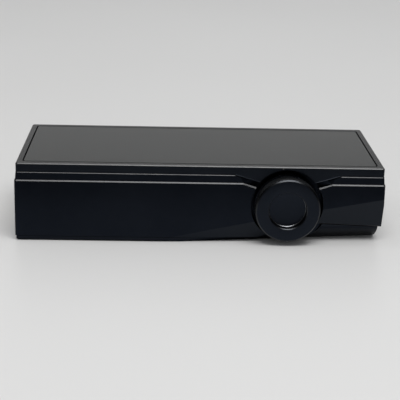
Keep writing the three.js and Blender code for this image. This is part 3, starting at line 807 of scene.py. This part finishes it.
def make_index():
    """A drop of grey paint in the dimple above the wheel."""
    low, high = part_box("top_frame")
    centre_x = wheel_axis.x - INDEX_OFFSET
    crown = low[1] + EAR_LIP + PAINT_SINK
    centre_z = high[2] - INDEX_DROP
    profile = [
        (0, 0),
        (0.09, 0.004),
        (PAINT_RADIUS, 0.02),
        (PAINT_RADIUS, PAINT_THICKNESS),
        (0, PAINT_THICKNESS),
    ]

    def place(radius, along, angle):
        return (
            centre_x + radius * math.cos(angle),
            crown + along,
            centre_z + radius * math.sin(angle),
        )

    draft = revolve([(radius * MM, along * MM) for radius, along in profile], PAINT_SEGMENTS, place)
    piece = make_piece("index_paint", draft, "moulded_plastic", "case")
    piece.data.materials[0] = index_paint()


# ---- jacks ----
def make_collar(size):
    """A turned collar with an eased mouth round a jack, and the contact springs inside it."""
    low, high = (Vector(corner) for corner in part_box(f"jack_{size}_collar"))
    centre = (low + high) / 2
    outer = (high.y - low.y) / 2 / MM
    depth = (high.x - low.x) / MM
    bore, spring_count = JACKS[size]
    outline = [
        (bore + 0.06, 0.35),
        (bore + 0.3, 0),
        (outer - 0.12, 0),
        (outer, 0.12),
        (outer, depth),
        (bore + 0.06, depth),
    ]
    closed = eased([*outline, outline[0], outline[1]], 0.07, 4)[1:-1]

    def place(radius, along, angle):
        return (
            low.x + along,
            centre.y + radius * math.cos(angle),
            centre.z + radius * math.sin(angle),
        )

    draft = revolve([(point.x * MM, point.y * MM) for point in closed], COLLAR_SEGMENTS, place)
    collar = f"jack_{size}_collar"
    make_piece(f"jack_{size}_ring", draft, "plated_brass", "case", [collar], sharp=40)

    springs = bmesh.new()
    reach = bore - 0.1
    path = [(1.6, reach), (2.6, reach - 0.08), (3.6, reach - 0.42), (4.4, reach - 0.1)]
    for i in range(spring_count):
        angle = FIRST_SPRING + 2 * math.pi * i / spring_count
        add_leaf(springs, low.x, centre, angle, path)
    make_piece(f"jack_{size}_springs", springs, "plated_brass", "case")


def add_leaf(draft, start, centre, angle, path):
    """A bent contact leaf inside a bore; path gives its (depth, radius) in millimetres."""
    across = Vector((0, -math.sin(angle), math.cos(angle))) * LEAF_HALF_WIDTH
    out = Vector((0, math.cos(angle), math.sin(angle)))
    inward = out * -LEAF_THICKNESS
    rings = []
    for depth, radius in eased(path, 0.5, 5):
        base = Vector((start + depth * MM, centre.y, centre.z)) + out * radius * MM
        corners = (base - across, base + across, base + across + inward, base - across + inward)
        rings.append([draft.verts.new(corner) for corner in corners])
    skin(draft, zip(rings, rings[1:]))
    draft.faces.new(rings[0])
    draft.faces.new(rings[-1][::-1])


# ---- socket ----
def oval(half_width, half_height, corner_steps=8):
    """Points (y, z) round a slot outline."""
    straight = half_width - half_height
    points = []
    for side, start in ((1, -math.pi / 2), (-1, math.pi / 2)):
        for i in range(corner_steps + 1):
            angle = start + math.pi * i / corner_steps
            y = side * straight + half_height * math.cos(angle)
            points.append((y, half_height * math.sin(angle)))
    return points


def make_socket_shell(low, high):
    """The socket's drawn shell, with a rounded mouth."""
    centre = (low + high) / 2
    half_y = (high.y - low.y) / 2 / MM
    half_z = (high.z - low.z) / 2 / MM
    length = (high.x - low.x) / MM
    outline = [
        (0, 0.12),
        (SOCKET_WALL / 2, 0),
        (SOCKET_WALL, 0.25),
        (SOCKET_WALL, length),
        (0, length),
    ]
    draft = bmesh.new()
    rings = []
    for inset, depth in eased([*outline, outline[0], outline[1]], 0.1, 3)[1:-1]:
        ring = [
            (high.x - depth * MM, centre.y + y * MM, centre.z + z * MM)
            for y, z in oval(half_y - inset, half_z - inset)
        ]
        rings.append([draft.verts.new(point) for point in ring])
    skin(draft, zip(rings, [*rings[1:], rings[0]]))
    make_piece("usb_drawn_shell", draft, "plated_steel", "case", ["usb_socket_shell"])


def make_contacts(low, high):
    """The contact strips on both sides of the socket's tongue."""
    centre = (low + high) / 2
    front = high.x - TONGUE_SETBACK
    draft = bmesh.new()
    for side in (-1, 1):
        for i in range(CONTACTS):
            y = centre.y + (i - (CONTACTS - 1) / 2) * CONTACT_PITCH
            z = centre.z + side * CONTACT_RISE
            add_block(
                draft,
                (front - CONTACT_LENGTH, y - CONTACT_HALF_WIDTH, z - CONTACT_HALF_THICKNESS),
                (front, y + CONTACT_HALF_WIDTH, z + CONTACT_HALF_THICKNESS),
            )
    bmesh.ops.bevel(draft, geom=list(draft.edges), offset=0.01 * MM, segments=1, affect="EDGES")
    make_piece("usb_contacts", draft, "plated_brass", "case")


def add_block(draft, low, high):
    corners = [
        draft.verts.new((x, y, z))
        for x in (low[0], high[0])
        for y in (low[1], high[1])
        for z in (low[2], high[2])
    ]
    for face in ((0, 1, 3, 2), (4, 6, 7, 5), (0, 4, 5, 1), (2, 3, 7, 6), (0, 2, 6, 4), (1, 5, 7, 3)):
        draft.faces.new([corners[i] for i in face])


def make_usb():
    low, high = (Vector(corner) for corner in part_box("usb_socket_shell"))
    make_socket_shell(low, high)
    make_contacts(low, high)


make_wheel()
make_index()
make_collar("small")
make_collar("large")
make_usb()

make_camera()
make_floor()
make_flag()
light_stage()
